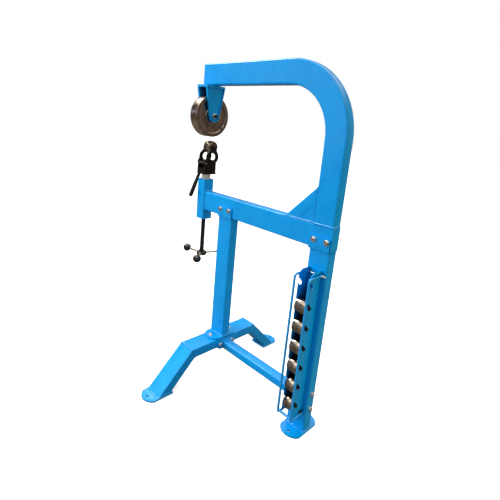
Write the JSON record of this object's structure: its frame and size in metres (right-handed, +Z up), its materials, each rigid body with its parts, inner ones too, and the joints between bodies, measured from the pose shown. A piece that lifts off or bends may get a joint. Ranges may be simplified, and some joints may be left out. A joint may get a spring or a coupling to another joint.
{
  "type": "english wheel",
  "caption": "Floor-standing english wheel with a blue tube C-frame, polished upper wheel, screw-raised anvil and a rack of spare anvils.",
  "frame": {"origin": "on the floor, at the middle of the rear foot plate; the upper wheel's centre is at x -0.775", "axes": "+Z up; +X from the wheel along the arms to the rear column; -Y is the side with the anvil rack"},
  "size_m": [0.9608, 0.916, 1.5755],
  "materials": {
    "blue_paint": "gloss",
    "polished_steel": "gloss",
    "black_oxide": "satin",
    "zinc_plate": "satin",
    "hard_chrome": "gloss",
    "bronze": "satin",
    "black_plastic": "gloss",
    "rubber": "matte"
  },
  "bodies": {
    "frame": {"c_frame_tube": "blue_paint", "lower_arm_tube": "blue_paint", "adjuster_housing": "blue_paint", "ram_bush": "bronze", "corner_brace": "blue_paint", "front_saddle": "blue_paint", "rear_saddle": "blue_paint", "saddle_bolt_1": "zinc_plate", "saddle_bolt_2": "zinc_plate", "saddle_bolt_3": "zinc_plate", "saddle_bolt_4": "zinc_plate", "front_column": "blue_paint", "column_foot_bolt_near": "zinc_plate", "column_foot_bolt_far": "zinc_plate", "front_beam": "blue_paint", "front_leg_near": "blue_paint", "front_leg_far": "blue_paint", "stretcher": "blue_paint", "stretcher_bolt_near": "zinc_plate", "stretcher_bolt_far": "zinc_plate", "rear_column_bolt_lower": "zinc_plate", "rear_column_bolt_upper": "zinc_plate", "rear_column": "blue_paint", "fork_top_plate": "blue_paint", "fork_leg_front": "blue_paint", "fork_leg_rear": "blue_paint", "wheel_bearing_sleeve": "bronze", "wheel_axle": "black_oxide", "wheel_axle_nut_front": "zinc_plate", "wheel_axle_nut_rear": "zinc_plate", "rack_channel": "blue_paint", "bail_bolt": "zinc_plate", "rack_stop_rod": "rubber", "rack_axle_1": "black_oxide", "rack_axle_2": "black_oxide", "rack_axle_3": "black_oxide", "rack_axle_4": "black_oxide", "rack_axle_5": "black_oxide", "rack_axle_6": "black_oxide"},
    "upper_wheel": {"upper_wheel": "polished_steel"},
    "ram": {"ram": "hard_chrome", "cradle_block": "black_oxide", "yoke_pivot_pin": "zinc_plate"},
    "yoke": {"yoke": "black_oxide", "mounted_axle": "black_oxide"},
    "anvil": {"mounted_anvil": "polished_steel"},
    "lever": {"release_lever": "black_oxide", "cam_shaft": "black_oxide"},
    "screw": {"adjuster_screw": "black_oxide", "kick_wheel": "black_oxide", "kick_wheel_ball_1": "black_plastic", "kick_wheel_ball_2": "black_plastic", "kick_wheel_ball_3": "black_plastic"},
    "bail": {"rack_bail": "blue_paint"},
    "rack_anvil_1": {"rack_anvil_1": "polished_steel"},
    "rack_anvil_2": {"rack_anvil_2": "polished_steel"},
    "rack_anvil_3": {"rack_anvil_3": "polished_steel"},
    "rack_anvil_4": {"rack_anvil_4": "polished_steel"},
    "rack_anvil_5": {"rack_anvil_5": "polished_steel"},
    "rack_anvil_6": {"rack_anvil_6": "polished_steel"}
  },
  "joints": [
    {"name": "upper_wheel_spin", "type": "hinge", "parent": "frame", "child": "upper_wheel", "pos_m": [-0.775, 0, 1.3296], "axis": [1, 0, 0], "continuous": true},
    {"name": "ram_slide", "type": "slide", "parent": "frame", "child": "ram", "axis": [0, 0, 1], "range_m": [-0.025, 0.012]},
    {"name": "screw_turn", "type": "hinge", "parent": "ram", "child": "screw", "pos_m": [-0.775, 0, 0.599], "axis": [0, 0, 1], "range_deg": [-2245, 1078]},
    {"name": "release_lever", "type": "hinge", "parent": "ram", "child": "lever", "pos_m": [-0.775, 0, 1.06], "axis": [1, 0, 0], "range_deg": [-110, 0]},
    {"name": "yoke_tilt", "type": "hinge", "parent": "ram", "child": "yoke", "pos_m": [-0.775, -0.031, 1.093], "axis": [1, 0, 0], "range_deg": [0, 11.25]},
    {"name": "anvil_spin", "type": "hinge", "parent": "yoke", "child": "anvil", "pos_m": [-0.775, 0.017, 1.176], "axis": [1, 0, 0], "continuous": true},
    {"name": "bail_swing", "type": "hinge", "parent": "frame", "child": "bail", "pos_m": [-0.004, -0.0353, 0.75], "axis": [1, 0, 0], "range_deg": [-90, 0]},
    {"name": "rack_anvil_1_spin", "type": "hinge", "parent": "frame", "child": "rack_anvil_1", "pos_m": [-0.004, -0.0773, 0.6167], "axis": [1, 0, 0], "continuous": true},
    {"name": "rack_anvil_2_spin", "type": "hinge", "parent": "frame", "child": "rack_anvil_2", "pos_m": [-0.004, -0.0773, 0.5254], "axis": [1, 0, 0], "continuous": true},
    {"name": "rack_anvil_3_spin", "type": "hinge", "parent": "frame", "child": "rack_anvil_3", "pos_m": [-0.004, -0.0773, 0.4341], "axis": [1, 0, 0], "continuous": true},
    {"name": "rack_anvil_4_spin", "type": "hinge", "parent": "frame", "child": "rack_anvil_4", "pos_m": [-0.004, -0.0773, 0.3428], "axis": [1, 0, 0], "continuous": true},
    {"name": "rack_anvil_5_spin", "type": "hinge", "parent": "frame", "child": "rack_anvil_5", "pos_m": [-0.004, -0.0773, 0.2515], "axis": [1, 0, 0], "continuous": true},
    {"name": "rack_anvil_6_spin", "type": "hinge", "parent": "frame", "child": "rack_anvil_6", "pos_m": [-0.004, -0.0773, 0.1602], "axis": [1, 0, 0], "continuous": true}
  ],
  "couplings": [
    {"joint": "ram_slide", "follows": "screw_turn", "m_per_rad": 0.00063662},
    {"joint": "yoke_tilt", "follows": "release_lever", "ratio": -0.10182}
  ]
}
